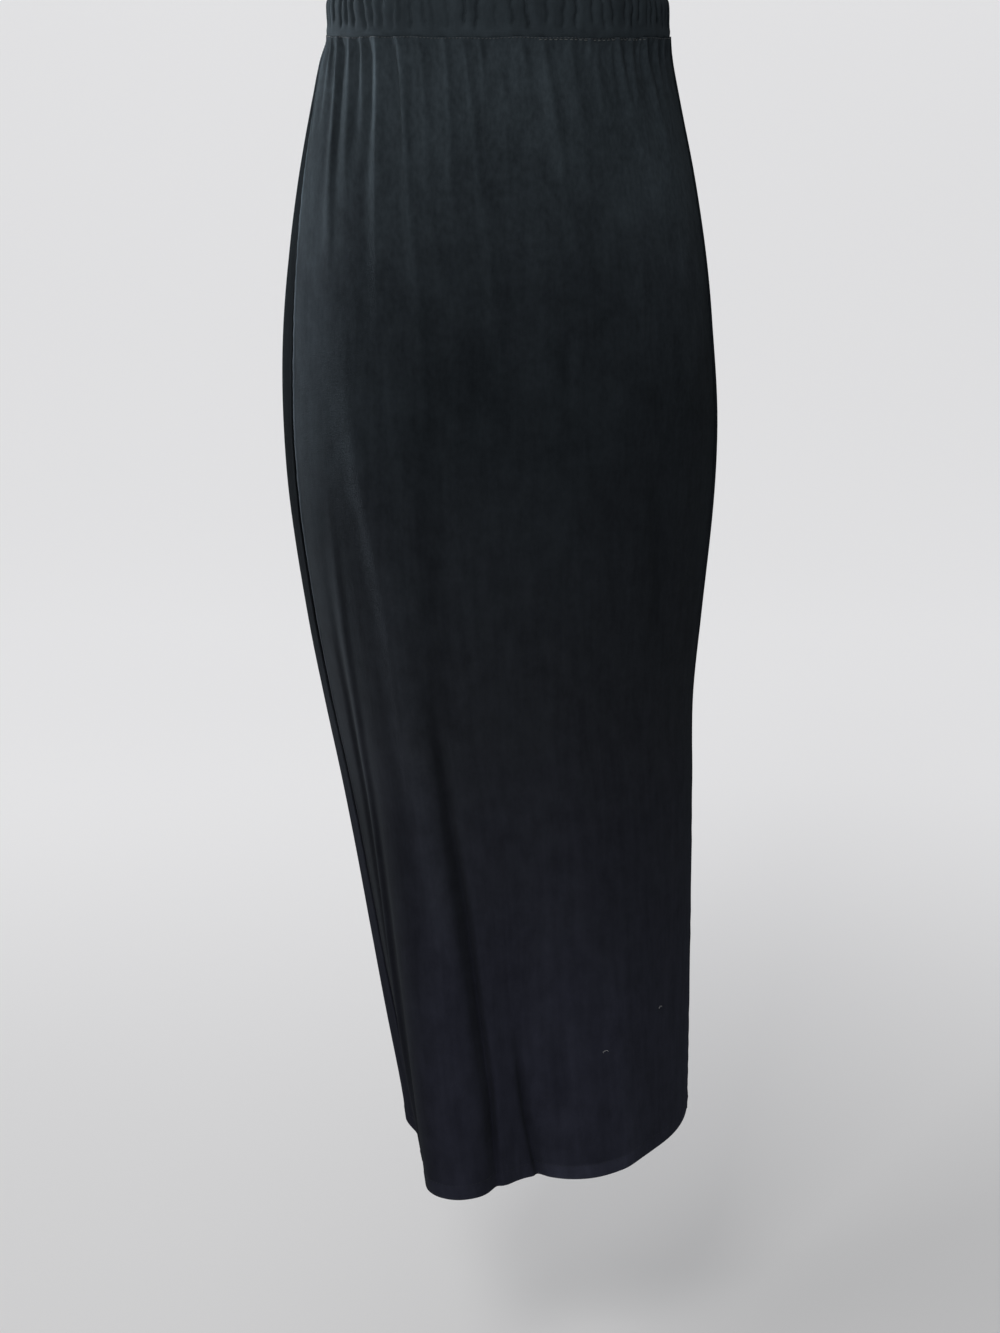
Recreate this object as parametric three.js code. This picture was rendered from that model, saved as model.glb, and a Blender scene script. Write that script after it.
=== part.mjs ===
// A long gathered skirt of black knitted jersey, filled out as when it is worn.
// Millimetres, +Z up, front towards -Y. The origin is the middle of the waist, half way up the waistband.
// Four sewn pieces: two half waistbands that hold the elastic, a front panel and a wider back panel,
// whose side seams lie a little forward of the sides. Each panel is one cut of cloth. Its wall is parted,
// with a seam's gap, at the hips and at the knees, so that its stretches stay simple to collide with.
import * as THREE from "three";

// Driving dimensions
const BAND_HEIGHT = 30;
const BAND_WALL = 3;
const BAND_SWELL = 1.2;
const PUCKER_HEIGHT = 1.3;
const FRONT_PUCKERS = 26;
const BACK_PUCKERS = 30;
const CLOTH_WALL = 1.5;
const HEM_DROP = 1000;
const HEM_HEIGHT = 15;
const HEM_WALL = 2.6;
const HEM_STEP = 1;
const SEAM_GAP = 0.3;
const BAND_TOP = BAND_HEIGHT / 2;
const BAND_BOTTOM = -BAND_HEIGHT / 2;
const PANEL_TOP = BAND_BOTTOM - SEAM_GAP;
const HIP_LEVEL = -330;
const KNEE_LEVEL = -660;
const COLUMNS_PER_WAVE = 4;
const SLOPE_STEP = 0.002;

// Level sections of the skirt, from the top down: how far it reaches to the left, right, front and back,
// the depth at which it is widest, how much the front slants back towards the right,
// and the places of the two side seams, in degrees round from the front.
const SECTIONS = table(["z", "left", "right", "front", "back", "widest", "slant", "leftSeam", "rightSeam"], [
  [15, -139, 135, -98, 98, 0, 0, -89, 87],
  [-16, -139, 136, -98, 98, 0, 0, -87, 86],
  [-34, -146, 139, -103, 104, 0, 0, -82, 84],
  [-66, -154, 146, -110, 114, 1, 0.01, -78, 82],
  [-130, -167, 161, -118, 131, 4, 0.02, -74, 79],
  [-200, -178, 174, -123, 144, 7, 0.04, -70, 77],
  [-265, -184, 182, -125, 149, 9, 0.06, -68, 75],
  [-330, -185, 187, -125, 148, 11, 0.08, -68, 74],
  [-400, -181, 186, -124, 144, 13, 0.11, -68, 74],
  [-505, -167, 178, -121, 138, 16, 0.16, -69, 76],
  [-580, -154, 173, -118, 135, 20, 0.2, -70, 78],
  [-650, -141, 174, -115, 134, 24, 0.24, -71, 80],
  [-725, -129, 175, -111, 134, 29, 0.29, -73, 82],
  [-800, -118, 176, -107, 136, 34, 0.34, -75, 83],
  [-880, -106, 177, -103, 139, 40, 0.39, -77, 84],
  [-960, -93, 178, -100, 143, 47, 0.43, -79, 85],
  [-1000, -87, 178, -99, 145, 50, 0.45, -79, 86],
]);

// The large folds of the lower skirt. A fold's place is the share of its panel's width, counted from the seam
// on the panel's own left. It starts at a height, and reaches its full rise, or fall if negative, at the hem.
// It fades over a share of the width on either side.
const FOLDS = table(["panel", "at", "start", "rise", "fadeLeft", "fadeRight"], [
  ["front", 0, -430, -16, 0.17, 0.17],
  ["front", 0.12, -420, -4, 0.05, 0.04],
  ["front", 0.17, -380, 2, 0.04, 0.05],
  ["front", 0.225, -400, 18, 0.1, 0.16],
  ["front", 0.35, -460, -4, 0.045, 0.04],
  ["front", 0.465, -480, -31, 0.215, 0.17],
  ["front", 0.54, -800, 7, 0.065, 0.1],
  ["front", 0.66, -760, 2, 0.12, 0.12],
  ["back", 0.17, -520, 8, 0.12, 0.1],
  ["back", 0.32, -430, -20, 0.13, 0.12],
  ["back", 0.47, -560, 9, 0.1, 0.12],
  ["back", 0.66, -380, -24, 0.15, 0.13],
  ["back", 0.84, -600, 7, 0.1, 0.09],
  ["back", 1, -430, -16, 0.12, 0.12],
]);
const FOLD_GROWTH = 1.25;

// The gathers sewn into the waistband's lower edge: the share of the panel's width where each ridge hangs,
// its height at the seam and how far it runs down the cloth.
const FRONT_GATHERS = table(["at", "height", "run"], [
  [0.035, 1.6, 110],
  [0.075, 2, 90],
  [0.118, 2.6, 170],
  [0.165, 2.4, 110],
  [0.207, 2, 75],
  [0.25, 3.2, 230],
  [0.307, 3.2, 340],
  [0.35, 2.3, 130],
  [0.4, 2.3, 170],
  [0.437, 2.1, 290],
  [0.466, 1.7, 60],
  [0.497, 1.8, 120],
  [0.54, 1.5, 80],
  [0.583, 1.8, 170],
  [0.645, 1.7, 140],
  [0.685, 1.6, 70],
  [0.75, 2.2, 80],
  [0.787, 1.7, 120],
  [0.83, 2.3, 100],
  [0.88, 1.8, 80],
  [0.925, 1.7, 110],
  [0.965, 1.5, 70],
]);
const BACK_GATHER_COUNT = 24;
const BACK_GATHER = { height: 2.4, run: 160, shift: 0.3, vary: 0.45 };
const BACK_GATHER_PACE = { height: 1.7, run: 2.9, shift: 2.1 };
const GATHER_FADE = 1.25;
const UNEVEN_WAVES = [
  { share: 0.6, pace: 1, start: 1 },
  { share: 0.4, pace: 2.7, start: 2 },
];

// Heights of the rows of points on each stretch of a panel, from the seam at the waistband to the hem
const HEM_LINE = -HEM_DROP + HEM_HEIGHT;
const STRETCHES = {
  hips: [PANEL_TOP, -26, -46, -74, -112, -162, -220, -280, HIP_LEVEL + SEAM_GAP / 2],
  thighs: [HIP_LEVEL - SEAM_GAP / 2, -400, -480, -570, KNEE_LEVEL + SEAM_GAP / 2],
  legs: [KNEE_LEVEL - SEAM_GAP / 2, -730, -800, -870, -935, HEM_LINE + HEM_STEP, HEM_LINE, -HEM_DROP],
};

// Rows of values under named columns
function table(columns, rows) {
  return rows.map((row) => Object.fromEntries(columns.map((column, k) => [column, row[k]])));
}

const PANELS = {
  front: { gathers: FRONT_GATHERS, puckers: FRONT_PUCKERS },
  back: { gathers: backGathers(), puckers: BACK_PUCKERS },
};

// Uneven values between -1 and 1, one for each step
function uneven(step, pace) {
  const waves = UNEVEN_WAVES.map((wave) => wave.share * Math.sin(wave.pace * pace * step + wave.start));
  return waves[0] + waves[1];
}

function backGathers() {
  const rows = [];
  for (let step = 0; step < BACK_GATHER_COUNT; step++) {
    const shift = BACK_GATHER.shift * uneven(step, BACK_GATHER_PACE.shift);
    rows.push({
      at: (step + 0.5 + shift) / BACK_GATHER_COUNT,
      height: BACK_GATHER.height * (1 + BACK_GATHER.vary * uneven(step, BACK_GATHER_PACE.height)),
      run: BACK_GATHER.run * (1 + BACK_GATHER.vary * uneven(step, BACK_GATHER_PACE.run)),
    });
  }
  return rows;
}

// One column of the section table at height z, on a smooth curve through the rows
function sectionValue(z, column) {
  const last = SECTIONS.length - 1;
  const below = THREE.MathUtils.clamp(SECTIONS.findIndex((row) => row.z <= z), 1, last);
  const row = (k) => SECTIONS[THREE.MathUtils.clamp(k, 0, last)];
  const slope = (k) => (row(k + 1)[column] - row(k - 1)[column]) / (row(k + 1).z - row(k - 1).z);
  const upper = row(below - 1);
  const lower = row(below);
  const span = lower.z - upper.z;
  const s = THREE.MathUtils.clamp((z - upper.z) / span, 0, 1);
  return (
    (1 + 2 * s) * (1 - s) ** 2 * upper[column] +
    s * (1 - s) ** 2 * span * slope(below - 1) +
    s ** 2 * (3 - 2 * s) * lower[column] +
    s ** 2 * (s - 1) * span * slope(below)
  );
}

// The angle round the section, from the front towards the right, of a share of a panel's width
function turnOf(panel, share, z) {
  const left = sectionValue(z, "leftSeam");
  const right = sectionValue(z, "rightSeam");
  const [from, to] = panel === "front" ? [left, right] : [right, left + 360];
  return THREE.MathUtils.degToRad(from + (to - from) * share);
}

// A point of the plain section, without folds
function plainPoint(panel, share, z) {
  const turn = turnOf(panel, share, z);
  const left = sectionValue(z, "left");
  const right = sectionValue(z, "right");
  const widest = sectionValue(z, "widest");
  const depth = Math.cos(turn) > 0 ? widest - sectionValue(z, "front") : sectionValue(z, "back") - widest;
  const across = ((right - left) / 2) * Math.sin(turn);
  const slant = sectionValue(z, "slant") * across * ((1 + Math.cos(turn)) / 2);
  return new THREE.Vector2((left + right) / 2 + across, widest - depth * Math.cos(turn) + slant);
}

// The level direction out of the cloth, for any function that gives points across a panel
function outward(pointAt, share) {
  const along = pointAt(share + SLOPE_STEP).sub(pointAt(share - SLOPE_STEP));
  return new THREE.Vector2(along.y, -along.x).normalize();
}

// A soft ridge of height 1 that fades to 0 at the given distances on its two sides
function ridge(distance, fadeLeft, fadeRight) {
  const reach = distance < 0 ? fadeLeft : fadeRight;
  return Math.abs(distance) < reach ? (1 + Math.cos((Math.PI * distance) / reach)) / 2 : 0;
}

function foldRise(panel, share, z) {
  let rise = 0;
  for (const fold of FOLDS) {
    if (fold.panel !== panel || z > fold.start) continue;
    const grown = ((fold.start - z) / (fold.start + HEM_DROP)) ** FOLD_GROWTH;
    rise += fold.rise * grown * ridge(share - fold.at, fold.fadeLeft, fold.fadeRight);
  }
  return rise;
}

// Gathers stand out as ridges with valleys half way between neighbours, and die away down the cloth
function gatherRise(panel, share, z) {
  const { gathers } = PANELS[panel];
  let rise = 0;
  gathers.forEach((gather, k) => {
    const before = k > 0 ? (gather.at - gathers[k - 1].at) / 2 : gather.at;
    const after = k < gathers.length - 1 ? (gathers[k + 1].at - gather.at) / 2 : 1 - gather.at;
    const left = Math.max(1 - (PANEL_TOP - z) / gather.run, 0) ** GATHER_FADE;
    rise += gather.height * left * ridge(share - gather.at, before, after);
  });
  return rise;
}

// The outer face of a panel, seen from above at height z
function panelPoint(panel, share, z) {
  const plain = (at) => plainPoint(panel, at, z);
  const rise = foldRise(panel, share, z) + gatherRise(panel, share, z);
  return plain(share).addScaledVector(outward(plain, share), rise);
}

// The outer face of a half waistband: a casing swollen by its elastic, puckered all round
function bandPoint(panel, share, z) {
  const plain = (at) => plainPoint(panel, at, z);
  const swell = BAND_SWELL * (1 - (z / BAND_TOP) ** 2);
  const pucker = PUCKER_HEIGHT * Math.sin(Math.PI * share * PANELS[panel].puckers) ** 2;
  return plain(share).addScaledVector(outward(plain, share), BAND_WALL / 2 + swell + pucker);
}

// The plain inner face of a half waistband
function bandLining(panel, share, z) {
  const plain = (at) => plainPoint(panel, at, z);
  return plain(share).addScaledVector(outward(plain, share), -BAND_WALL / 2);
}

// Shares of a panel's width where columns of points stand: on each ridge, in each valley and between them
function gatherColumns(gathers) {
  const ridges = gathers.map((gather) => gather.at);
  const valleys = ridges.slice(1).map((at, k) => (at + ridges[k]) / 2);
  const main = [0, ...ridges, ...valleys, 1].sort((a, b) => a - b);
  const between = main.slice(1).map((at, k) => (at + main[k]) / 2);
  return [...main, ...between].sort((a, b) => a - b);
}

// A share moved in from both seams by half the seam's gap
function insideSeams(pointAt, share) {
  const width = pointAt(0).distanceTo(pointAt(SLOPE_STEP)) / SLOPE_STEP;
  const inset = SEAM_GAP / 2 / width;
  return THREE.MathUtils.clamp(share, inset, 1 - inset);
}

// A closed wall lofted through rows of points, top row first. Each row has its outer and inner points,
// left to right as seen from outside.
function wallGeometry(rows) {
  const positions = [];
  const faces = [];
  const indices = rows.map(({ z, outer, inner }) => {
    const place = (point) => positions.push(point.x, point.y, z) / 3 - 1;
    return { outer: outer.map(place), inner: inner.map(place) };
  });
  const quad = (a, b, c, d) => faces.push(a, b, c, a, c, d);
  const strip = (upper, lower) => {
    for (let k = 0; k < upper.length - 1; k++) quad(upper[k], lower[k], lower[k + 1], upper[k + 1]);
  };
  for (let r = 0; r < indices.length - 1; r++) {
    const [upper, lower] = [indices[r], indices[r + 1]];
    const end = upper.outer.length - 1;
    strip(upper.outer, lower.outer);
    strip(lower.inner, upper.inner);
    quad(upper.inner[0], lower.inner[0], lower.outer[0], upper.outer[0]);
    quad(upper.outer[end], lower.outer[end], lower.inner[end], upper.inner[end]);
  }
  const [top, bottom] = [indices[0], indices[indices.length - 1]];
  strip(top.inner, top.outer);
  strip(bottom.outer, bottom.inner);
  return new THREE.BufferGeometry()
    .setAttribute("position", new THREE.Float32BufferAttribute(positions, 3))
    .setIndex(faces);
}

// One stretch of a panel. Only the gathers at the hips need every column of points.
function stretchGeometry(panel, stretch) {
  const fine = gatherColumns(PANELS[panel].gathers);
  const columns = stretch === "hips" ? fine : fine.filter((_, k) => k % 2 === 0);
  const rows = STRETCHES[stretch].map((z) => {
    const wall = z > HEM_LINE ? CLOTH_WALL : HEM_WALL;
    const pointAt = (share) => panelPoint(panel, share, z);
    const shares = columns.map((share) => insideSeams(pointAt, share));
    const outer = shares.map(pointAt);
    const inner = shares.map((share, k) => outer[k].clone().addScaledVector(outward(pointAt, share), -wall));
    return { z, outer, inner };
  });
  return wallGeometry(rows);
}

function bandGeometry(panel) {
  const count = PANELS[panel].puckers * COLUMNS_PER_WAVE;
  const columns = Array.from({ length: count + 1 }, (_, k) => k / count);
  const heights = [BAND_TOP, 0, BAND_BOTTOM];
  const rows = heights.map((z) => {
    const shares = columns.map((share) => insideSeams((at) => plainPoint(panel, at, z), share));
    return {
      z,
      outer: shares.map((share) => bandPoint(panel, share, z)),
      inner: shares.map((share) => bandLining(panel, share, z)),
    };
  });
  return wallGeometry(rows);
}

// Black jersey with a soft sheen; the waistband is the same cloth, pulled up by its elastic
const jersey = new THREE.MeshStandardMaterial({ color: 0x1d2125, roughness: 0.72, metalness: 0 });
const gatheredJersey = new THREE.MeshStandardMaterial({ color: 0x202327, roughness: 0.76, metalness: 0 });

function piece(name, geometry, material) {
  geometry.computeVertexNormals();
  const mesh = new THREE.Mesh(geometry, material);
  mesh.name = name;
  return mesh;
}

const skirt = new THREE.Group();
for (const panel of Object.keys(PANELS)) {
  skirt.add(piece(`waistband_${panel}`, bandGeometry(panel), gatheredJersey));
  for (const stretch of Object.keys(STRETCHES)) {
    skirt.add(piece(`${panel}_panel_${stretch}`, stretchGeometry(panel, stretch), jersey));
  }
}

export default skirt;
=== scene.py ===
# A long gathered skirt of black jersey, filled out and empty, with a puckered elastic waistband.
import math

import bmesh
import bpy
import numpy as np
from mathutils import Matrix, Vector


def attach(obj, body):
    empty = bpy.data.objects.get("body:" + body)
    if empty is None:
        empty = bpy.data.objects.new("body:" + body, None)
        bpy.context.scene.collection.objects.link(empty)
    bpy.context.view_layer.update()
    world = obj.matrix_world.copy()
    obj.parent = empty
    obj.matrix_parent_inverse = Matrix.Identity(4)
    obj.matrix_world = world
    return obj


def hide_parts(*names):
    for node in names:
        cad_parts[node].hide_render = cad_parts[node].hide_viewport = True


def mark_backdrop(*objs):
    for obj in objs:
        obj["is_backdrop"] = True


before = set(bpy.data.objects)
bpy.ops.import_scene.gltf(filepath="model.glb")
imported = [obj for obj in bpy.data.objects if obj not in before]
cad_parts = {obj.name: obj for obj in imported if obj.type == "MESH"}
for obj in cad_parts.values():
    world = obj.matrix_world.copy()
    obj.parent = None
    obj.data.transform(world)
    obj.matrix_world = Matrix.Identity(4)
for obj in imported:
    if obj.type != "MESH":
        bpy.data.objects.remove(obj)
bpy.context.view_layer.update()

# All tables and sizes of the cloth are in millimetres, heights counted from the middle of the waistband.
MM = 0.001


def table(columns, rows):
    """Rows of values under named columns."""
    return {column: np.array([row[k] for row in rows]) for k, column in enumerate(columns.split())}


def rows_for(chart, name):
    """The rows of a table that start with a name, each without that name."""
    first, *others = chart.values()
    for k in np.flatnonzero(first == name):
        yield [float(column[k]) for column in others]


# Level sections of the skirt: its reach to the left, right, front and back, the depth where it is widest,
# how much the front slants back towards the right, and the turn of the two side seams.
SECTIONS = table("z left right front back widest slant left_seam right_seam", [
    [15, -139, 135, -98, 98, 0, 0, -89, 87],
    [-16, -139, 136, -98, 98, 0, 0, -87, 86],
    [-34, -146, 139, -103, 104, 0, 0, -82, 84],
    [-66, -154, 146, -110, 114, 1, 0.01, -78, 82],
    [-130, -167, 161, -118, 131, 4, 0.02, -74, 79],
    [-200, -178, 174, -123, 144, 7, 0.04, -70, 77],
    [-265, -184, 182, -125, 149, 9, 0.06, -68, 75],
    [-330, -185, 187, -125, 148, 11, 0.08, -68, 74],
    [-400, -181, 186, -124, 144, 13, 0.11, -68, 74],
    [-505, -167, 178, -121, 138, 16, 0.16, -69, 76],
    [-580, -154, 173, -118, 135, 20, 0.2, -70, 78],
    [-650, -141, 174, -115, 134, 24, 0.24, -71, 80],
    [-725, -129, 175, -111, 134, 29, 0.29, -73, 82],
    [-800, -118, 176, -107, 136, 34, 0.34, -75, 83],
    [-880, -106, 177, -103, 139, 40, 0.39, -77, 84],
    [-960, -93, 178, -100, 143, 47, 0.43, -79, 85],
    [-1000, -87, 178, -99, 145, 50, 0.45, -79, 86],
])

# Large folds of the lower skirt: their place as a share of the panel's width, the height where they start,
# their rise at the hem, or fall if negative, and the share of the width over which they fade on either side.
FOLDS = table("panel at start rise fade_left fade_right", [
    ["front", 0, -430, -16, 0.17, 0.17],
    ["front", 0.12, -420, -4, 0.05, 0.04],
    ["front", 0.17, -380, 2, 0.04, 0.05],
    ["front", 0.225, -400, 18, 0.1, 0.16],
    ["front", 0.35, -460, -4, 0.045, 0.04],
    ["front", 0.465, -480, -31, 0.215, 0.17],
    ["front", 0.54, -800, 7, 0.065, 0.1],
    ["front", 0.66, -760, 2, 0.12, 0.12],
    ["back", 0.17, -520, 8, 0.12, 0.1],
    ["back", 0.32, -430, -20, 0.13, 0.12],
    ["back", 0.47, -560, 9, 0.1, 0.12],
    ["back", 0.66, -380, -24, 0.15, 0.13],
    ["back", 0.84, -600, 7, 0.1, 0.09],
    ["back", 1, -430, -16, 0.12, 0.12],
])
FOLD_GROWTH = 1.25
SOFT_START = 0.1

# Gathers that hang from the waistband's seam: their place there, how far they lean by their end,
# their height, the half width of the ridge and how far they run down.
FRONT_GATHERS = table("at lean height wide run", [
    [0.035, 0.0, 1.5, 4.5, 110],
    [0.075, 0.0, 1.8, 4.0, 90],
    [0.118, 0.01, 3.1, 3.6, 200],
    [0.165, 0.005, 2.8, 4.4, 130],
    [0.207, 0.005, 2.2, 3.6, 110],
    [0.247, 0.012, 3.6, 4.4, 270],
    [0.304, 0.045, 3.6, 3.5, 350],
    [0.349, 0.008, 3.0, 3.3, 170],
    [0.398, 0.006, 2.7, 3.7, 200],
    [0.434, 0.045, 2.8, 3.7, 290],
    [0.465, 0.005, 1.7, 3.2, 60],
    [0.495, 0.03, 1.9, 4.0, 130],
    [0.54, 0.02, 1.4, 4.0, 90],
    [0.583, 0.045, 2.3, 4.2, 190],
    [0.645, 0.004, 1.7, 4.6, 150],
    [0.682, 0.045, 1.7, 4.0, 80],
    [0.75, 0.045, 3.2, 3.6, 100],
    [0.785, 0.03, 1.8, 4.4, 130],
    [0.83, 0.07, 3.2, 3.6, 120],
    [0.88, 0.03, 1.8, 4.2, 90],
    [0.925, 0.01, 1.7, 4.2, 110],
    [0.965, 0.0, 1.4, 3.8, 70],
])
BACK_GATHERS = 24
SMALL_GATHERS = {"front": 46, "back": 52}

# All gathers: how much wider they get by their end, the curve of their fading, the depth over which the seam
# pinches them, the height of the ridge, and the trough on either side as a share of it
GATHER_SPREAD = 0.9
GATHER_FADE = 0.9
SEAM_PINCH = 12
GATHER_LIFT = 1.5
GATHER_TROUGH = 0.4

# Softer creases and ridges over the panels: height, half width, the length over which the ends fade,
# and the path as pairs of height and share of the width.
CREASES = [
    ("front", 3.0, 10, 160,
     [(-250, 0.17), (-327, 0.193), (-417, 0.234), (-492, 0.257), (-584, 0.264), (-648, 0.27), (-840, 0.303)]),
    ("front", -1.9, 17, 110,
     [(-250, 0.32), (-328, 0.335), (-392, 0.343), (-460, 0.337), (-528, 0.328), (-640, 0.325)]),
    ("front", 1.0, 6, 90, [(-270, 0.29), (-380, 0.302), (-430, 0.31), (-600, 0.335)]),
    ("front", 0.9, 4.5, 70, [(-270, 0.38), (-480, 0.392)]),
    ("front", 2.6, 5.5, 260,
     [(-330, 0.12), (-460, 0.12), (-560, 0.126), (-700, 0.11), (-850, 0.09), (-1000, 0.065)]),
    ("front", -2.4, 5, 220, [(-400, 0.085), (-560, 0.093), (-700, 0.078), (-850, 0.058), (-1000, 0.033)]),
    ("front", -9.0, 5, 230, [(-482, 0.333), (-657, 0.322), (-740, 0.335), (-915, 0.356), (-1000, 0.345)]),
    ("front", 5.0, 5, 70, [(-930, 0.354), (-1000, 0.345)]),
    ("front", -5.0, 4.2, 60, [(-850, 0.44), (-935, 0.46), (-1000, 0.488)]),
    ("front", -2.6, 6, 40, [(-840, 0.527), (-950, 0.54)]),
    ("front", 1.8, 13, 80, [(-760, 0.66), (-1000, 0.66)]),
    ("front", -1.2, 5, 40, [(-225, 0.598), (-350, 0.595)]),
    ("front", 1.2, 8, 60, [(-185, 0.403), (-370, 0.398)]),
    ("front", 1.2, 8, 40, [(-160, 0.758), (-250, 0.748)]),
    ("front", -1.8, 10, 60, [(-350, 0.785), (-540, 0.805)]),
    ("back", 2.4, 9, 90, [(-300, 0.24), (-520, 0.22), (-800, 0.2)]),
    ("back", -4.2, 7, 100, [(-480, 0.3), (-720, 0.32), (-1000, 0.33)]),
    ("back", -3.0, 6, 80, [(-620, 0.42), (-1000, 0.41)]),
    ("back", -4.6, 7, 120, [(-430, 0.63), (-700, 0.65), (-1000, 0.66)]),
    ("back", 2.4, 10, 80, [(-520, 0.76), (-1000, 0.78)]),
    ("back", -1.6, 8, 60, [(-240, 0.52), (-420, 0.54)]),
]

# Heights of the band and the panels, and the cloth's thickness
BAND_TOP, BAND_BOTTOM = 15, -15
PANEL_TOP = -14.9
HEM = -1000
CLOTH = 1.0
BAND_CLOTH = 0.7

# The turned-up hem: its height, the radius of its fold, the turns of the rows round the fold, the rows
# above it, how far it stands proud, how deep its stitching dents it and how high its inner edge waves it
HEM_HEIGHT = 15
HEM_TURN = 1.2
HEM_FOLD_TURNS = [30, 60, 90, 120, 150, 180]
HEM_ROWS = [5, 9, HEM_HEIGHT]
HEM_PROUD, HEM_DENT, HEM_WAVE = 0.5, 0.6, 0.35

# Rises of a millimetre or two: slow unevenness, the roll, groove and puckers along a side seam, and the push
# of the turnings below the band with the depth over which it fades. The band's seam slopes to one side.
SLACK_SLOW, SLACK_SLOWER = 0.45, 0.6
EDGE_ROLL, EDGE_GROOVE, EDGE_PUCKER = 0.7, 0.5, 0.2
SEAM_PUSH, SEAM_PUSH_FADE = 2.3, 8
SEAM_SLOPE = 1.5

# Width of each panel as it hangs, the columns of points across the pieces, and the rows down a panel,
# as heights with the step between rows down to them
PANEL_WIDTH = {"front": 375, "back": 470}
PANEL_COLUMNS = {"front": 340, "back": 350}
BAND_COLUMNS = 330
PANEL_ROWS = [(-24, 1.5), (-120, 4.6), (-300, 7), (-900, 12), (-976, 8), (-982, 2), (HEM + HEM_TURN, 1.3)]

# The share of the width by which a piece stops short of its side seams, and the front's seam turnings:
# how far they run past the seam, as shares of the width, and how deep inside they lie
SEAM_GAP = 0.0004
TURNING_PAST = np.array([0, 0, 0.006, 0.02])
TURNING_INSIDE = np.array([1.4, 3.0, 4.2, 4.4])

# Puckers of each half of the band: their number, how much their width varies, the depth of the creases
# between them and how much it varies, the height of uneven ridges, where the creases end, by how much that
# varies and over what height they fade, and how narrow they are
PUCKERS = {"front": 36, "back": 42}
PUCKER_WIDTH_VARIES = 0.42
PUCKER_DEPTH, PUCKER_DEPTH_VARIES = 2.6, 0.5
PUCKER_RIDGE = 0.35
PUCKER_END, PUCKER_END_VARIES, PUCKER_FADE = -11, 4, 8
PUCKER_NARROWNESS = 3.5

# Rows of stitches: height, distance from stitch to stitch, and thickness
HEM_STITCH_INSET = 1.5
HEM_STITCHES = {"z": HEM + HEM_HEIGHT - HEM_STITCH_INSET, "pitch": 3.1, "thick": 0.55}
SEAM_STITCHES = {"z": BAND_BOTTOM - 0.7, "pitch": 3.0, "thick": 0.9}
LOOSE_STITCHES = {"z": BAND_BOTTOM - 1.9, "pitch": 4.2, "thick": 0.7, "span": (0.577, 0.838)}
# Each stitch: its length as a share of that distance, how much flatter than wide it is, how far it stands
# out, and its sides and bands of faces. A row is measured at many samples, and most rows run nearly from
# seam to seam.
STITCH_COVER = 0.74
STITCH_FLATNESS = 1.3
STITCH_LIFT = 0.1
STITCH_SIDES, STITCH_BANDS = 6, 4
ROW_SAMPLES = 1500
ROW_SPAN = (0.004, 0.996)

# Lint on the front panel: places by share of the width and height, the curl's half width and height, the
# points along it, the length of each step, the thickness, and how far it stands out
LINT = [(0.625, -880), (0.792, -860)]
LINT_HALF_WIDTH, LINT_HEIGHT = 2.1, 1.5
LINT_POINTS, LINT_STEP, LINT_THICK = 9, 1.2, 0.35
LINT_LIFT = 0.15

# Stretches beside the side seams with painted shade, where the cloth is darkened to stand in for shade, and
# a painted highlight along the front's left rim: the edge and the end of the change as shares of the width,
# the heights between which it shows, and its tone. The change spreads from the edge, fades in below its top
# and out above its bottom.
SHADE_SPREAD = 1.6
SHADE_FADE_IN, SHADE_FADE_OUT = 80, 240
PAINTED_SHADE_BY_SEAMS = table("piece edge ends top bottom tone", [
    ["skirt_back", 1, 0.88, 0, -620, 0.18],
    ["skirt_back", 0, 0.05, 80, -300, 0.55],
    ["band_back", 0, 0.06, 80, -80, 0.55],
    ["band_front", 0, 0.3, 80, -80, 0.3],
    ["skirt_front", 0, 0.22, 80, -190, 0.68],
    ["skirt_front", 0, 0.28, -30, -270, 0.58],
    ["skirt_front", 0, 0.014, -60, -670, 2.8],
    ["skirt_front", 0, 0.3, -330, -1300, 0.6],
    ["skirt_front", 0, 0.32, -600, -1300, 0.5],
    ["skirt_back", 1, 0.85, -420, -1300, 0.6],
])

# Patches of painted light, or of painted shade if negative: the middle and half width as shares of the width,
# the middle and half of the height, and the change of tone. Along the hem, which is paler as painted light,
# only the place and the width count.
PAINTED_LIGHT_PATCHES = table("piece at wide z tall change", [
    ["skirt_front", 0.41, 0.14, -255, 160, -0.32],
    ["skirt_front", 0.86, 0.18, -160, 190, 0.4],
])
HEM_PAINTED_LIGHT = table("at fade_left fade_right change", [
    [0.58, 0.14, 0.14, 0.45],
    [0.2, 0.15, 0.12, 0.3],
])
# Painted light all along the hem
HEM_PALER = 0.05
# Painted sheen on the crests of the gathers
CREST_PAINTED_SHEEN = 0.08
# Painted highlight on the ridges of creases and painted shade in their grooves, within the given reach of
# their height
CREASE_PAINTED_SHADING = 0.11
CREASE_TONE_REACH = -2, 3


def uneven(step, pace):
    """Uneven values between -1 and 1, one for each step."""
    return 0.6 * np.sin(pace * step + 1) + 0.4 * np.sin(2.7 * pace * step + 2)


def section(column, z):
    """A column of the section table at heights z, on a smooth curve through the rows."""
    heights, values = SECTIONS["z"], SECTIONS[column]
    last = len(heights) - 1
    after = np.minimum(np.arange(last + 1) + 1, last)
    before = np.maximum(np.arange(last + 1) - 1, 0)
    slopes = (values[after] - values[before]) / (heights[after] - heights[before])
    low = np.clip(np.searchsorted(-heights, -np.asarray(z, float)), 1, last)
    high = low - 1
    span = heights[low] - heights[high]
    s = np.clip((z - heights[high]) / span, 0, 1)
    return ((1 + 2 * s) * (1 - s) ** 2 * values[high] + s * (1 - s) ** 2 * span * slopes[high]
            + s ** 2 * (3 - 2 * s) * values[low] + s ** 2 * (s - 1) * span * slopes[low])


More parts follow.
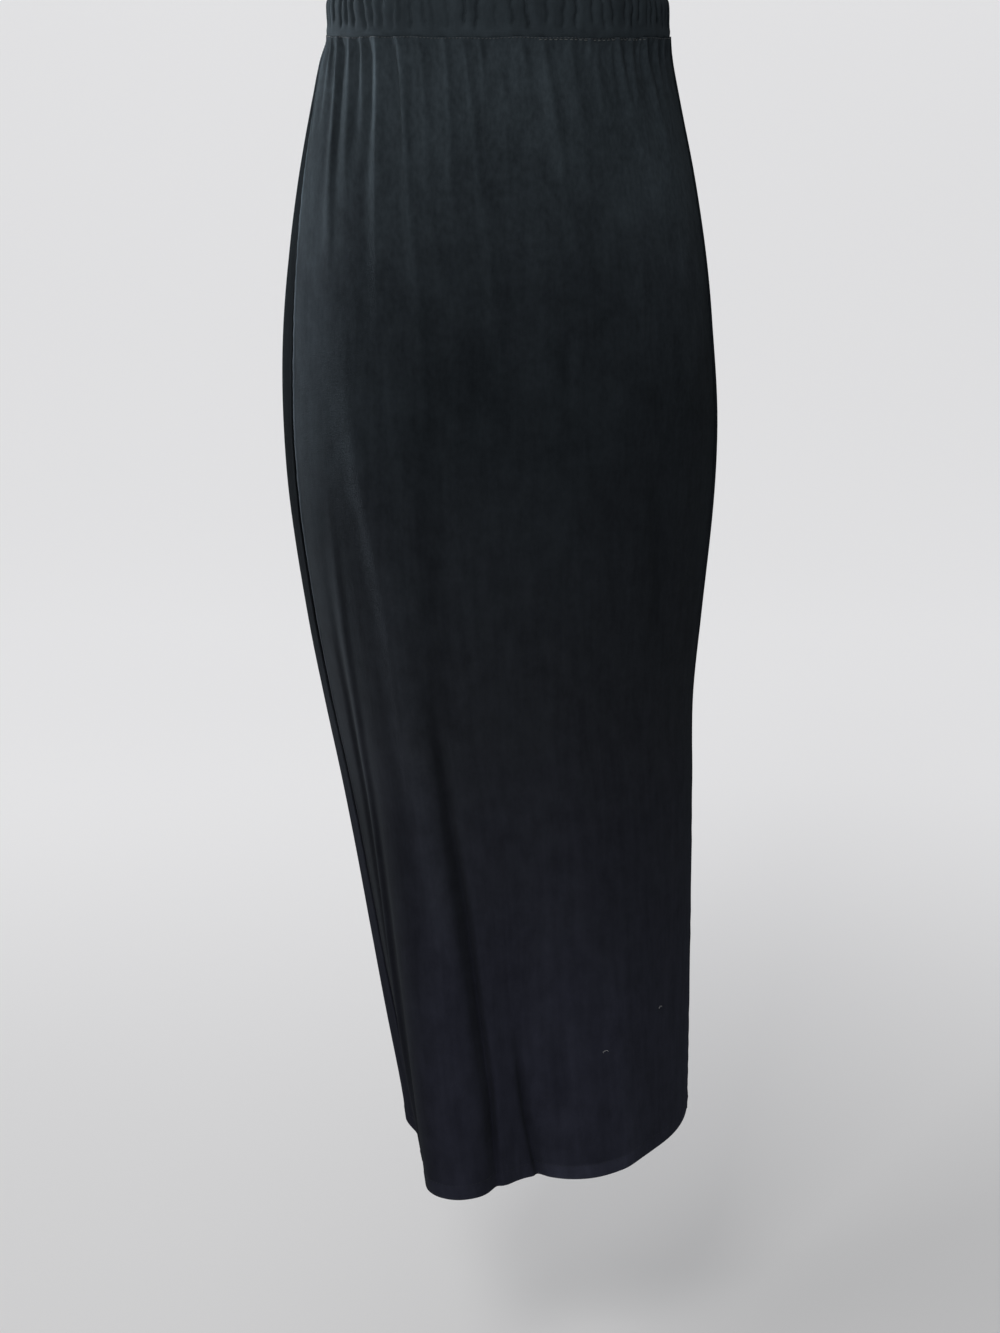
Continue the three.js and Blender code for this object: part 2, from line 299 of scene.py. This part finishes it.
def plain_section(panel, share, z):
    """Points of the plain section at shares of a panel's width, without any fold."""
    left_seam, right_seam = section("left_seam", z), section("right_seam", z)
    start, end = (left_seam, right_seam) if panel == "front" else (right_seam, left_seam + 360)
    turn = np.radians(start + (end - start) * share)
    left, right, widest = section("left", z), section("right", z), section("widest", z)
    depth = np.where(np.cos(turn) > 0, widest - section("front", z), section("back", z) - widest)
    across = (right - left) / 2 * np.sin(turn)
    slant = section("slant", z) * across * (1 + np.cos(turn)) / 2
    return np.stack([(left + right) / 2 + across, widest - depth * np.cos(turn) + slant], -1)


def outward(points_at, share):
    """The level direction out of the cloth."""
    step = 0.002
    along = points_at(share + step) - points_at(share - step)
    out = np.stack([along[..., 1], -along[..., 0]], -1)
    return out / np.linalg.norm(out, axis=-1, keepdims=True)


def swell(distance, wide):
    """A smooth swell of height 1 with the given half width."""
    return np.exp(-(distance / wide) ** 2)


def soft_ridge(distance, fade_left, fade_right):
    """A ridge of height 1 that fades to 0 at the given distances on its two sides."""
    reach = np.where(distance < 0, fade_left, fade_right)
    return np.where(np.abs(distance) < reach, (1 + np.cos(np.pi * distance / reach)) / 2, 0)


def ease(x):
    """0 to 1 with soft ends."""
    x = np.clip(x, 0, 1)
    return x * x * (3 - 2 * x)


def fold_rise(panel, share, z):
    rise = np.zeros(np.broadcast(share, z).shape)
    for at, start, full, fade_left, fade_right in rows_for(FOLDS, panel):
        below = (start - z) / (start - HEM)
        grown = ((below + np.hypot(below, SOFT_START)) / 2) ** FOLD_GROWTH
        rise = rise + full * grown * soft_ridge(share - at, fade_left, fade_right)
    return rise


def uneven_gathers(count, shift, lean, height, wide, run):
    """Gathers at uneven places. Height, half width and run are each a mean, the share by which it varies
    and a pace; shift and lean are each a size and a pace."""
    step = np.arange(count)

    def varied(mean, by, pace):
        return mean * (1 + by * uneven(step, pace))

    return {
        "at": (step + 0.5 + shift[0] * uneven(step, shift[1])) / count,
        "lean": lean[0] * uneven(step, lean[1]),
        "height": varied(*height),
        "wide": varied(*wide),
        "run": varied(*run),
    }


def small_gathers(panel):
    return uneven_gathers(SMALL_GATHERS[panel], shift=(0.35, 1.9), lean=(0.008, 2.3), height=(0.75, 0.6, 2.7),
                          wide=(2.1, 0.3, 1.1), run=(48, 0.6, 3.1))


def back_gathers():
    return uneven_gathers(BACK_GATHERS, shift=(0.3, 2.1), lean=(0.02, 1.3), height=(2.3, 0.45, 1.7),
                          wide=(4.2, 0.2, 3.3), run=(165, 0.5, 2.9))


GATHERS = {
    "front": [FRONT_GATHERS, small_gathers("front")],
    "back": [back_gathers(), small_gathers("back")],
}


def gather_sum(panel, share, z, shape):
    """The gathers' ridges added up, each lower and wider as it runs down."""
    total = np.zeros(np.broadcast(share, z).shape)
    below = PANEL_TOP - z
    pinch = 0.5 + 0.5 * ease(below / SEAM_PINCH)
    for gathers in GATHERS[panel]:
        for at, lean, height, wide, run in zip(*gathers.values()):
            gone = np.clip(below / run, 0, 1)
            spread = wide * (1 + GATHER_SPREAD * gone)
            distance = (share - at - lean * gone) * PANEL_WIDTH[panel] / spread
            total = total + height * (1 - gone) ** GATHER_FADE * pinch * shape(distance)
    return total


def gather_rise(panel, share, z):
    """Narrow ridges with a trough on either side."""
    return GATHER_LIFT * gather_sum(panel, share, z, lambda d: swell(d, 1) - GATHER_TROUGH * swell(d, 2))


def crest_rise(panel, share, z):
    """The crests of the gathers, where painted sheen makes the cloth a little paler."""
    return gather_sum(panel, share, z, lambda d: swell(d, 0.5))


def crease_rise(panel, share, z):
    rise = np.zeros(np.broadcast(share, z).shape)
    for where, height, wide, taper, path in CREASES:
        if where != panel:
            continue
        heights, shares = np.array(path[::-1]).T
        at = np.interp(z, heights, shares)
        reach = ease((heights[-1] - z) / taper)
        if heights[0] > HEM:
            reach = reach * ease((z - heights[0]) / taper)
        rise = rise + height * reach * swell((share - at) * PANEL_WIDTH[panel], wide)
    return rise


def slack_rise(panel, share, z):
    """Slow unevenness of hanging cloth."""
    across = share * PANEL_WIDTH[panel]
    slow = np.sin(across / 17 + z / 190 + 0.7) * np.sin(z / 130 + across / 90)
    slower = np.sin(across / 31 - z / 260 + 2.1)
    return SLACK_SLOW * slow + SLACK_SLOWER * slower


def edge_rise(panel, share, z):
    """The cloth rolls into its side seams, and the stitching puckers it a little."""
    edge = np.maximum(np.minimum(share, 1 - share) * PANEL_WIDTH[panel], 0)
    pucker = np.sin(z / 2.6 + 2 * np.sin(z / 17)) * swell(edge, 7)
    roll = swell(edge - 2.4, 1.9)
    groove = swell(edge, 1.2)
    return EDGE_ROLL * roll - EDGE_GROOVE * groove + EDGE_PUCKER * pucker


def seam_rise(panel, share, z):
    """Below the waistband the seam's turnings push the cloth out."""
    return SEAM_PUSH * swell(PANEL_TOP - z, SEAM_PUSH_FADE) + 0 * share


def hem_rise(panel, share, z):
    """The turned hem stands a little proud, with a dent along its stitching."""
    across = share * PANEL_WIDTH[panel]
    above = z - HEM
    proud = HEM_PROUD * ease((HEM_HEIGHT + 1 - above) / 2)
    dent = -HEM_DENT * swell(above - HEM_HEIGHT + HEM_STITCH_INSET, 1.1)
    wave = HEM_WAVE * np.sin(across / 2.3 + 1.5 * np.sin(across / 23)) * swell(above - HEM_HEIGHT, 7)
    return proud + dent + wave


def cloth_section(panel, share, z):
    """Points of a panel's outer face, from above, with all its folds."""
    plain = lambda at: plain_section(panel, at, z)
    parts = (fold_rise, gather_rise, crease_rise, slack_rise, edge_rise, seam_rise, hem_rise)
    rise = sum(part(panel, share, z) for part in parts)
    return plain(share) + outward(plain, share) * rise[..., None]


def seam_drop(panel, share, z):
    """The waistband's lower seam wanders, and drops a little towards the right of the front."""
    wander = 0.35 * np.sin(share * 23 + 1) + 0.3 * np.sin(share * 61)
    slope = SEAM_SLOPE * (0.4 - share if panel == "front" else share - 0.6)
    return (wander + slope) * swell(z - BAND_BOTTOM, 7)


def steps(start, *stretches):
    """Heights from start down, by stretches of (end, step)."""
    heights = [start]
    for end, step in stretches:
        count = max(1, round((heights[-1] - end) / step))
        heights += list(np.linspace(heights[-1], end, count + 1)[1:])
    return np.array(heights)


def painted_shade_tone(name, share, z):
    """The cloth's tone, with painted shade and painted light: darker or paler beside the seams, in patches,
    on crests and creases and along the hem.
    """
    tone = np.ones(np.broadcast(share, z).shape)
    for edge, ends, top, bottom, left in rows_for(PAINTED_SHADE_BY_SEAMS, name):
        # Painted shade beside a seam, or a painted highlight along the rim, spreading from the edge
        turned = ease(SHADE_SPREAD * (share - ends) / (edge - ends))
        turned = turned * ease((top - z) / SHADE_FADE_IN) * ease((z - bottom) / SHADE_FADE_OUT)
        tone = tone * (1 - (1 - left) * turned)
    for at, wide, middle, tall, change in rows_for(PAINTED_LIGHT_PATCHES, name):
        patch = soft_ridge(share - at, wide, wide) * soft_ridge(z - middle, tall, tall)
        tone = tone * (1 + change * patch)
    if not name.startswith("skirt"):
        return tone
    panel = name.split("_")[1]
    # Painted light along the turned hem, more in some places
    hem = ease((HEM + HEM_HEIGHT - z) / 3)
    wear_and_light = HEM_PALER
    for at, fade_left, fade_right, change in zip(*HEM_PAINTED_LIGHT.values()):
        wear_and_light = wear_and_light + change * soft_ridge(share - at, fade_left, fade_right)
    # Painted sheen on the gathers' crests, and painted highlight and shade on the creases
    crests = 1 + CREST_PAINTED_SHEEN * crest_rise(panel, share, z)
    creases = 1 + CREASE_PAINTED_SHADING * np.clip(crease_rise(panel, share, z), *CREASE_TONE_REACH)
    return tone * crests * creases * (1 + hem * wear_and_light)


def smooth_object(name, bm):
    """A smooth object at the origin from a finished bmesh."""
    for face in bm.faces:
        face.smooth = True
    mesh = bpy.data.meshes.new(name)
    bm.to_mesh(mesh)
    bm.free()
    made = bpy.data.objects.new(name, mesh)
    bpy.context.scene.collection.objects.link(made)
    return made


def jersey_piece(name, points, spots, thickness):
    """A cloth piece from rows of points, top row first, left to right as seen from outside. Each point has
    its spot on the cloth, as shares of its width and length."""
    rows, columns = points.shape[:2]
    bm = bmesh.new()
    uv = bm.loops.layers.uv.new("cloth")
    painted_shading = bm.verts.layers.float.new("painted_shading")
    # Painted shade and light for each point, which the cloth's material reads
    tone = painted_shade_tone(name, spots[..., 0], points[..., 2])
    bmesh.ops.create_grid(bm, x_segments=columns - 1, y_segments=rows - 1, size=0.5)
    place = {}
    for v in bm.verts:
        row = round((0.5 - v.co.y) * (rows - 1))
        column = round((v.co.x + 0.5) * (columns - 1))
        place[v] = row, column
    for v, at in place.items():
        v.co = points[at] * MM
        v[painted_shading] = tone[at]
    for face in bm.faces:
        for loop in face.loops:
            loop[uv].uv = spots[place[loop.vert]]
    piece = smooth_object(name, bm)
    wall = piece.modifiers.new("wall", "SOLIDIFY")
    wall.thickness = thickness * MM
    wall.offset = -1
    return piece


def seam_to_seam(columns):
    """Shares of a piece's width from seam to seam."""
    return np.linspace(SEAM_GAP, 1 - SEAM_GAP, columns + 1)


def panel_piece(panel):
    """A panel from the waistband's seam down to the hem, then turned up inside. The front's seam turnings lie
    inside, behind the back's edges."""
    share = seam_to_seam(PANEL_COLUMNS[panel])
    turning = np.zeros(share.shape)
    if panel == "front":
        share = np.concatenate([share[0] - TURNING_PAST[::-1], share, share[-1] + TURNING_PAST])
        turning = np.concatenate([TURNING_INSIDE[::-1], turning, TURNING_INSIDE])
    share = share[None, :]
    hanging = steps(PANEL_TOP, *PANEL_ROWS)
    turn = np.radians(HEM_FOLD_TURNS)
    turned = HEM + np.array(HEM_ROWS)
    z = np.concatenate([hanging, HEM + HEM_TURN * (1 - np.sin(turn)), turned])
    inset = np.concatenate([0 * hanging, HEM_TURN * (1 - np.cos(turn)), 2 * HEM_TURN + 0 * turned])
    heights = z[:, None] + seam_drop(panel, share, z[:, None])
    at = lambda s: cloth_section(panel, s, heights)
    level = at(share) - outward(at, share) * (inset[:, None] + turning)[..., None]
    tall = heights[..., None]
    length = np.concatenate([[0], np.cumsum(np.abs(np.diff(z)) + np.abs(np.diff(inset)))])
    spots = np.stack(np.broadcast_arrays(share, 1 - length[:, None] / length[-1]), -1)
    return jersey_piece(f"skirt_{panel}", np.concatenate([level, tall], -1), spots, CLOTH)


# The casing of the waistband from its lower edge, up the outside, over the top fold and down the inside:
# height, how far it stands out, and how strongly it puckers.
CASING = table("z out pucker", [
    [-15.4, 1.7, 0.0],
    [-15.2, 2.1, 0.04],
    [-14.4, 2.5, 0.08],
    [-12.8, 2.9, 0.2],
    [-11.0, 3.0, 0.4],
    [-9.5, 2.8, 0.6],
    [-8.0, 2.6, 0.8],
    [-6.0, 2.5, 0.95],
    [-3.0, 2.5, 1.0],
    [0.0, 2.6, 1.0],
    [4.0, 2.6, 1.0],
    [8.0, 2.5, 1.0],
    [11.0, 2.2, 0.95],
    [13.0, 1.7, 0.85],
    [14.4, 0.8, 0.6],
    [15.0, -0.2, 0.4],
    [14.6, -1.1, 0.3],
    [13.4, -1.6, 0.3],
    [10.0, -1.8, 0.4],
    [4.0, -1.9, 0.5],
    [-4.0, -1.9, 0.4],
    [-10.0, -1.7, 0.2],
    [-14.6, -1.3, 0.0],
])


def pucker_rise(panel, share, z):
    """Rounded puckers parted by narrow creases, uneven in width, depth, lean and length."""
    count = PUCKERS[panel]
    step, crease = np.arange(count), np.arange(count + 1)
    widths = 1 + PUCKER_WIDTH_VARIES * uneven(step, 2.2)
    edges = np.concatenate([[0], np.cumsum(widths) / widths.sum()])
    lean = 0.004 * np.sin(share * 37) * z / BAND_TOP + 0.0012 * np.sin(z / 2.1 + 90 * share)
    place = np.clip(share + lean, 0, 1 - 1e-9)
    which = np.clip(np.searchsorted(edges, place, side="right") - 1, 0, count - 1)
    inside = (place - edges[which]) / (edges[which + 1] - edges[which]) * 2 - 1
    ridge = PUCKER_RIDGE * uneven(step, 1.2)[which]
    beside = np.where(inside < 0, which, which + 1)
    ends = (PUCKER_END + PUCKER_END_VARIES * uneven(crease, 2.4))[beside]
    full = PUCKER_DEPTH * (1 + PUCKER_DEPTH_VARIES * uneven(crease, 1.6))
    depth = full[beside] * ease((z - ends) / PUCKER_FADE)
    return ridge - (depth + ridge) * np.abs(inside) ** PUCKER_NARROWNESS


def band_piece(panel):
    """Half of the waistband, with three rows of points for each row of the casing's table."""
    share = seam_to_seam(BAND_COLUMNS)[None, :]
    row = np.arange(len(CASING["z"]))
    fine = np.linspace(0, row[-1], 3 * row[-1] + 1)
    z, out, pucker = (np.interp(fine, row, column)[:, None] for column in CASING.values())
    plain = lambda at: plain_section(panel, at, z)
    top_fold = np.argmax(CASING["z"])
    face = np.where(fine < top_fold, 1, -1)[:, None]
    rise = out + face * pucker * pucker_rise(panel, share, z)
    level = plain(share) + outward(plain, share) * rise[..., None]
    tall = (z + seam_drop(panel, share, z))[..., None]
    points = np.concatenate([level, tall], -1)[::-1]
    spots = np.stack(np.broadcast_arrays(share, np.linspace(1, 0, len(fine))[:, None]), -1)
    return jersey_piece(f"band_{panel}", points, spots, BAND_CLOTH)


def sort_faces(bm):
    """Puts the faces in the order of their corners, so that they come in the same order each run."""
    bm.verts.index_update()
    count = len(bm.verts)

    def place(face):
        first, second, third = sorted(corner.index for corner in face.verts)[:3]
        return (first * count + second) * count + third

    bm.faces.sort(key=place)


def stitch_row(name, points, outs, length, thick):
    """A row of short stitches along points on the cloth."""
    bm = bmesh.new()
    for here, after, out in zip(points[:-1], points[1:], outs):
        along = Vector(after - here).normalized()
        up = Vector(out)
        side = up.cross(along).normalized()
        up = along.cross(side)
        turn = Matrix((along, side, up)).transposed().to_4x4()
        size = Matrix.Diagonal((length / 2 * MM, thick / 2 * MM, thick / 2 / STITCH_FLATNESS * MM, 1))
        at = Matrix.Translation(Vector((here + after) / 2) * MM)
        bmesh.ops.create_uvsphere(bm, u_segments=STITCH_SIDES, v_segments=STITCH_BANDS, radius=1,
                                  matrix=at @ turn @ size)
    sort_faces(bm)
    return smooth_object(name, bm)


def stitches_round(name, panel, z, pitch, thick, span=ROW_SPAN):
    """A row of stitches across a panel at one height."""
    level = np.array([[z]])
    at = lambda s: cloth_section(panel, s, level)
    share = np.linspace(*span, ROW_SAMPLES)[None, :]
    walked = np.concatenate([[0], np.cumsum(np.linalg.norm(np.diff(at(share)[0], axis=0), axis=1))])
    stops = np.interp(np.arange(0, walked[-1], pitch), walked, share[0])[None, :]
    out = outward(at, stops)[0]
    tall = (z + seam_drop(panel, stops, level)).T
    points = np.concatenate([at(stops)[0] + out * STITCH_LIFT, tall], -1)
    return stitch_row(name, points, np.concatenate([out, 0 * tall], -1), STITCH_COVER * pitch, thick)


def lint_fibre(name, share, z):
    """A curled fibre of lint on the front panel."""
    turn = np.linspace(0, np.pi, LINT_POINTS)
    heights = z + LINT_HEIGHT * np.sin(turn)[:, None]
    shares = share - LINT_HALF_WIDTH * np.cos(turn)[:, None] / PANEL_WIDTH["front"]
    at = lambda s: cloth_section("front", s, heights)
    out = outward(at, shares)[:, 0]
    points = np.concatenate([at(shares)[:, 0] + LINT_LIFT * out, heights], -1)
    return stitch_row(name, points, np.concatenate([out, 0 * heights], -1), LINT_STEP, LINT_THICK)


class Wire:
    """A value in a material's nodes, for use in plain sums."""

    def __init__(self, dye, socket):
        self.dye, self.socket = dye, socket

    def sum(self, operation, a, b):
        return self.dye.node("ShaderNodeMath", {"operation": operation}, {0: a, 1: b})

    def __add__(self, other):
        return self.sum("ADD", self, other)

    def __radd__(self, other):
        return self.sum("ADD", other, self)

    def __sub__(self, other):
        return self.sum("SUBTRACT", self, other)

    def __mul__(self, other):
        return self.sum("MULTIPLY", self, other)


class Dye:
    """A material and its nodes."""

    def __init__(self, name):
        self.material = bpy.data.materials.new(name)
        self.material.use_nodes = True
        self.tree = self.material.node_tree
        self.shader = next(n for n in self.tree.nodes if n.type == "BSDF_PRINCIPLED")

    def link(self, value, socket):
        if isinstance(value, Wire):
            self.tree.links.new(value.socket, socket)
        else:
            socket.default_value = value

    def node(self, kind, settings, sockets, output=0):
        made = self.tree.nodes.new(kind)
        for key, value in settings.items():
            if key == "stops":
                ramp = made.color_ramp.elements
                for k, (at, colour) in enumerate(value):
                    stop = ramp[k] if k < 2 else ramp.new(at)
                    stop.position, stop.color = at, colour
            else:
                setattr(made, key, value)
        for key, value in sockets.items():
            self.link(value, made.inputs[key])
        return Wire(self, made.outputs[output])

    def finish(self, **sockets):
        for key, value in sockets.items():
            self.link(value, self.shader.inputs[key.replace("_", " ")])
        return self.material


# Width of a wale and height of a course in the knit
WALE = 1.1
COURSE = 0.9

# How strongly the cloth's tone varies by each kind of unevenness, the pile's at the hem with what is added
# by the top, and the strength and depth of the cloth's relief, the depth in metres
STREAK_TONE, MOTTLE_TONE, PATCH_TONE, KNIT_TONE = 0.35, 0.48, 0.35, 0.08
PILE_TONE, PILE_ADDED = 0.12, 0.55
RELIEF_STRENGTH, RELIEF_DEPTH = 0.3, 0.0004


def jersey(name, width, length, tones, sheen):
    """Black knitted jersey: fine wales and courses, faint upright streaks, worn mottling, a short pile that
    shows more towards the top, and a cool cast that turns from teal at the top to violet near the hem, paler
    at the top as painted light from above, under the painted shade and light of each point."""
    dye = Dye(name)
    spot = dye.node("ShaderNodeUVMap", {"uv_map": "cloth"}, {})
    # Painted shade and light kept on each point darkens or lightens the cloth's colour
    painted_shading = dye.node("ShaderNodeAttribute", {"attribute_name": "painted_shading"}, {}, 2)
    along = dye.node("ShaderNodeSeparateXYZ", {}, {0: spot}, 1)
    sideways = dye.node("ShaderNodeSeparateXYZ", {}, {0: spot}, 0) * width
    down = along * length
    cloth = dye.node("ShaderNodeCombineXYZ", {}, {0: sideways, 1: down})

    def noise(size, detail):
        place = dye.node("ShaderNodeVectorMath", {"operation": "DIVIDE"}, {0: cloth, 1: size})
        sockets = {"Vector": place, "Scale": 1.0, "Detail": detail}
        return dye.node("ShaderNodeTexNoise", {"noise_dimensions": "2D"}, sockets) - 0.5

    streak = noise((7, 60, 1), 3.0)
    mottle = noise((15, 21, 1), 5.0)
    patch = noise((60, 95, 1), 2.0)
    pile = noise((4, 6, 1), 3.0) * (PILE_TONE + along * along * PILE_ADDED)
    fuzz = noise((0.9, 1.1, 1), 2.0)
    wale = dye.node("ShaderNodeMath", {"operation": "SINE"}, {0: sideways * (2 * math.pi / WALE)})
    course = dye.node("ShaderNodeMath", {"operation": "SINE"}, {0: down * (2 * math.pi / COURSE)})
    knit = wale * 0.5 + course * 0.3
    stray = along + patch * 0.14
    cast = dye.node("ShaderNodeValToRGB", {"stops": tones}, {0: stray})
    wear_and_light = 1 + streak * STREAK_TONE + mottle * MOTTLE_TONE + patch * PATCH_TONE
    shade = (wear_and_light + pile + knit * KNIT_TONE) * painted_shading
    colour = dye.node("ShaderNodeVectorMath", {"operation": "SCALE"}, {0: cast, "Scale": shade})
    relief = knit * 0.6 + fuzz * 1.6 + mottle * 1.5
    sockets = {"Strength": RELIEF_STRENGTH, "Distance": RELIEF_DEPTH, "Height": relief}
    bump = dye.node("ShaderNodeBump", {}, sockets)
    return dye.finish(
        Base_Color=colour, Roughness=0.8 + mottle * 0.3, Normal=bump,
        Sheen_Weight=sheen, Sheen_Roughness=0.5, Sheen_Tint=(0.85, 0.95, 1.0, 1.0), Specular_IOR_Level=0.0)


def fibre(name, dark, light):
    """Thread or lint, paler and darker along its twist."""
    dye = Dye(name)
    spot = dye.node("ShaderNodeTexCoord", {}, {}, 3)
    twist = dye.node("ShaderNodeTexNoise", {}, {"Vector": spot, "Scale": 900.0, "Detail": 2.0})
    tint = dye.node("ShaderNodeMix", {"data_type": "RGBA"}, {0: twist, 6: dark, 7: light}, 2)
    return dye.finish(Base_Color=tint, Roughness=0.6 + twist * 0.2, Specular_IOR_Level=0.1)


def backdrop():
    """A pale floor that sweeps up into a wall far behind."""
    front, far, side, floor, sweep, top = -6.0, 4.6, 6.0, -1.26, 1.6, 4.5
    run = [(front, floor), (far - sweep, floor)]
    for turn in np.radians(np.arange(7.5, 91, 7.5)):
        run.append((far - sweep + sweep * math.sin(turn), floor + sweep * (1 - math.cos(turn))))
    run.append((far, top))
    bm = bmesh.new()
    bmesh.ops.create_grid(bm, x_segments=1, y_segments=len(run) - 1, size=0.5)
    for v in bm.verts:
        y, z = run[round((v.co.y + 0.5) * (len(run) - 1))]
        v.co = (v.co.x * 2 * side, y, z)
    sheet = smooth_object("backdrop", bm)
    dye = Dye("pale_paper")
    spot = dye.node("ShaderNodeTexCoord", {}, {}, 3)
    cloud = dye.node("ShaderNodeTexNoise", {}, {"Vector": spot, "Scale": 0.9, "Detail": 1.0})
    aside = dye.node("ShaderNodeSeparateXYZ", {}, {0: spot}, 0)
    depth = dye.node("ShaderNodeSeparateXYZ", {}, {0: spot}, 1)
    soft = {"interpolation_type": "SMOOTHSTEP"}
    rightward = dye.node("ShaderNodeMapRange", soft, {0: aside, 1: -0.4, 2: 0.5})
    far_off = dye.node("ShaderNodeMapRange", soft, {0: depth, 1: -0.3, 2: 2.0})

    def between(share, one, other):
        return dye.node("ShaderNodeMix", {"data_type": "RGBA"}, {0: share, 6: one, 7: other}, 2)

    paper, paler_paper = (0.43, 0.43, 0.433, 1), (0.47, 0.47, 0.474, 1)
    # The floor and wall glow with painted light, brightest on the far wall, and dimmer to the right of the
    # floor as painted shade
    left_glow, right_glow, wall_glow = (0.31, 0.31, 0.314, 1), (0.22, 0.22, 0.223, 1), (0.56, 0.56, 0.568, 1)
    tint = between(cloud, paper, paler_paper)
    glow = between(far_off, between(rightward, left_glow, right_glow), wall_glow)
    sheet.data.materials.append(dye.finish(
        Base_Color=tint, Roughness=0.9, Specular_IOR_Level=0.1, Emission_Color=glow, Emission_Strength=1.0))
    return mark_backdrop(sheet)


def soft_light(name, place, aim, size, power, spread, tint):
    """A lamp behind a rectangular diffuser, which the camera doesn't see."""
    lamp = bpy.data.lights.new(name, "AREA")
    lamp.shape = "RECTANGLE"
    lamp.size, lamp.size_y = size
    lamp.energy, lamp.color = power, tint
    lamp.spread = math.radians(spread)
    stand = bpy.data.objects.new(name, lamp)
    stand.location = place
    stand.rotation_euler = (Vector(aim) - Vector(place)).to_track_quat("-Z", "Y").to_euler()
    stand.visible_camera = False
    bpy.context.scene.collection.objects.link(stand)


# Camera, with its eye at the waistband's height, tipped down
EYE = (0.0, -2.027, -0.010)
TIP = 14.85
FOCAL_PIXELS = 2400
FRAME_HEIGHT = 1333
camera = bpy.data.cameras.new("camera")
camera.sensor_width = 36
camera.lens = FOCAL_PIXELS / FRAME_HEIGHT * camera.sensor_width
eye = bpy.data.objects.new("camera", camera)
eye.location = EYE
eye.rotation_euler = (math.radians(90 - TIP), 0, 0)
bpy.context.scene.collection.objects.link(eye)
bpy.context.scene.camera = eye

# Cloth: its tones from waist to hem, lighter towards the waist as painted light from above, the flat sizes of
# the cut in metres, and its sheen
WAIST_TEAL = (0.0210, 0.0270, 0.0320, 1)
HIP_TEAL = (0.0136, 0.0170, 0.0206, 1)
THIGH_BLACK = (0.0111, 0.0139, 0.0168, 1)
KNEE_BLACK = (0.0140, 0.0157, 0.0196, 1)
HEM_VIOLET = (0.0193, 0.0205, 0.0308, 1)
FLAT = {"front": (0.45, 1.01), "back": (0.58, 1.01)}
CASING_FLAT = {"front": (0.45, 0.066), "back": (0.48, 0.066)}
SHEEN = {"front": 0.03, "back": 0.01}
CASING_SHEEN = 0.03
stretches = ("hips", "thighs", "legs")
down_the_skirt = [(0.0, HEM_VIOLET), (1.0, WAIST_TEAL), (0.15, HEM_VIOLET), (0.45, KNEE_BLACK),
                  (0.7, THIGH_BLACK), (0.8, HIP_TEAL), (0.92, WAIST_TEAL)]
round_the_band = [(0.0, WAIST_TEAL), (1.0, WAIST_TEAL)]
black_thread = fibre("black_thread", (0.014, 0.016, 0.019, 1), (0.034, 0.038, 0.043, 1))
seam_thread = fibre("seam_thread", (0.022, 0.026, 0.029, 1), (0.058, 0.063, 0.068, 1))
grey_thread = fibre("grey_thread", (0.05, 0.055, 0.055, 1), (0.12, 0.13, 0.13, 1))
pale_lint = fibre("pale_lint", (0.35, 0.35, 0.36, 1), (0.7, 0.7, 0.7, 1))


def dress(piece, material):
    """Gives a piece its material and its place in the frame."""
    piece.data.materials.append(material)
    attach(piece, "root")
    return piece


for panel in ("front", "back"):
    width, length = (side / MM for side in FLAT[panel])
    casing_length = CASING_FLAT[panel][1] / MM
    cloth = jersey(f"jersey_{panel}", width, length, down_the_skirt, SHEEN[panel])
    casing = jersey(f"jersey_casing_{panel}", width, casing_length, round_the_band, CASING_SHEEN)
    skirt = dress(panel_piece(panel), cloth)
    band = dress(band_piece(panel), casing)
    hem_row = stitches_round(f"hem_stitches_{panel}", panel, **HEM_STITCHES)
    seam_row = stitches_round(f"band_stitches_{panel}", panel, **SEAM_STITCHES)
    dress(hem_row, black_thread)
    dress(seam_row, seam_thread)
    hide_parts(*(f"{panel}_panel_{stretch}" for stretch in stretches))
    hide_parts(f"waistband_{panel}")

loose_row = stitches_round("loose_stitches", "front", **LOOSE_STITCHES)
dress(loose_row, grey_thread)
for k, (share, z) in enumerate(LINT):
    dress(lint_fibre(f"lint_{k}", share, z), pale_lint)

backdrop()

# Soft studio light: pale all round and brighter where the backdrop ends, two lamps high in front and to the
# left, and a narrow window of light from behind on the left
ALL_ROUND, PAST_BACKDROP = 0.14, 0.66
WARM, COOL = (1.0, 0.99, 0.97), (0.97, 0.99, 1.0)
MIDDLE = (0, 0, -0.5)
world = bpy.data.worlds.new("studio")
bpy.context.scene.world = world
world.use_nodes = True
sky = world.node_tree.nodes["Background"].inputs
sky["Color"].default_value = (0.94, 0.96, 1.0, 1)
looked_at = world.node_tree.nodes.new("ShaderNodeLightPath").outputs["Is Camera Ray"]
strength = world.node_tree.nodes.new("ShaderNodeMapRange")
strength.inputs["To Min"].default_value = ALL_ROUND
strength.inputs["To Max"].default_value = PAST_BACKDROP
world.node_tree.links.new(looked_at, strength.inputs["Value"])
world.node_tree.links.new(strength.outputs["Result"], sky["Strength"])
soft_light("front_lamp", (-0.7, -2.3, 1.4), MIDDLE, (0.8, 0.8), 44, 180, WARM)
soft_light("side_lamp", (-2.2, -1.45, 1.5), MIDDLE, (1.4, 1.4), 28, 180, WARM)
soft_light("window", (-3.0, 1.75, 0.0), (0, 0, -0.2), (1.0, 0.5), 9, 20, COOL)
bpy.context.scene.view_settings.view_transform = "Standard"
